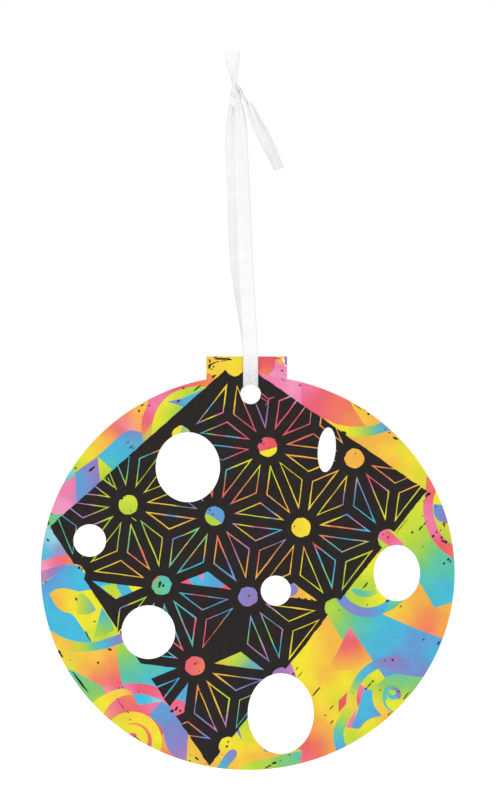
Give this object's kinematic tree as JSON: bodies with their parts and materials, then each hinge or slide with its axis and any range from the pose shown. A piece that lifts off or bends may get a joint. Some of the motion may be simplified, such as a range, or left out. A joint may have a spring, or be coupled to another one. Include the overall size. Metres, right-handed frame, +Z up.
{
  "type": "scratch art hanging ornament",
  "caption": "Flat die-cut card bauble with oval and round windows, a scratched black coating over a rainbow print, hanging on a knotted satin ribbon loop.",
  "frame": {"origin": "the hook's seat in the top of the ribbon loop, just under the knot", "axes": "+Z up as it hangs, +Y through the card from its printed front to its plain back, +X to the right as the front is seen"},
  "size_m": [0.1016, 0.0037, 0.1766],
  "materials": {
    "ribbon": "satin",
    "board": "matte",
    "rainbow_print": "satin",
    "back_paper": "matte",
    "coating": "matte"
  },
  "bodies": {
    "knot": {"ribbon_knot": "ribbon", "ribbon_top_end": "ribbon", "ribbon_tail": "ribbon"},
    "loop": {"ribbon_front_strand": "ribbon", "ribbon_back_strand": "ribbon"},
    "bight": {"ribbon_bight": "ribbon"},
    "card": {"card_core": "board", "front_print": "rainbow_print", "back_paper": "back_paper", "scratch_coating": "coating", "scratch_islands": "coating", "coating_flecks": "coating"}
  },
  "joints": [
    {"name": "ribbon_flex", "type": "hinge", "parent": "knot", "child": "loop", "pos_m": [0, 0, 0], "axis": [1, 0, 0], "range_deg": [-60, 60], "deforming": ["ribbon_front_strand", "ribbon_back_strand"]},
    {"name": "ribbon_twist", "type": "hinge", "parent": "loop", "child": "bight", "pos_m": [0.0031, 0, -0.0719], "axis": [-0.0431, 0, 0.9991], "range_deg": [-180, 180], "stiffness_Nm_per_rad": 0.000002, "deforming": ["ribbon_front_strand", "ribbon_back_strand"]},
    {"name": "card_swing", "type": "hinge", "parent": "bight", "child": "card", "pos_m": [0.0031, 0, -0.0719], "axis": [0, 1, 0], "range_deg": [-90, 90]}
  ]
}
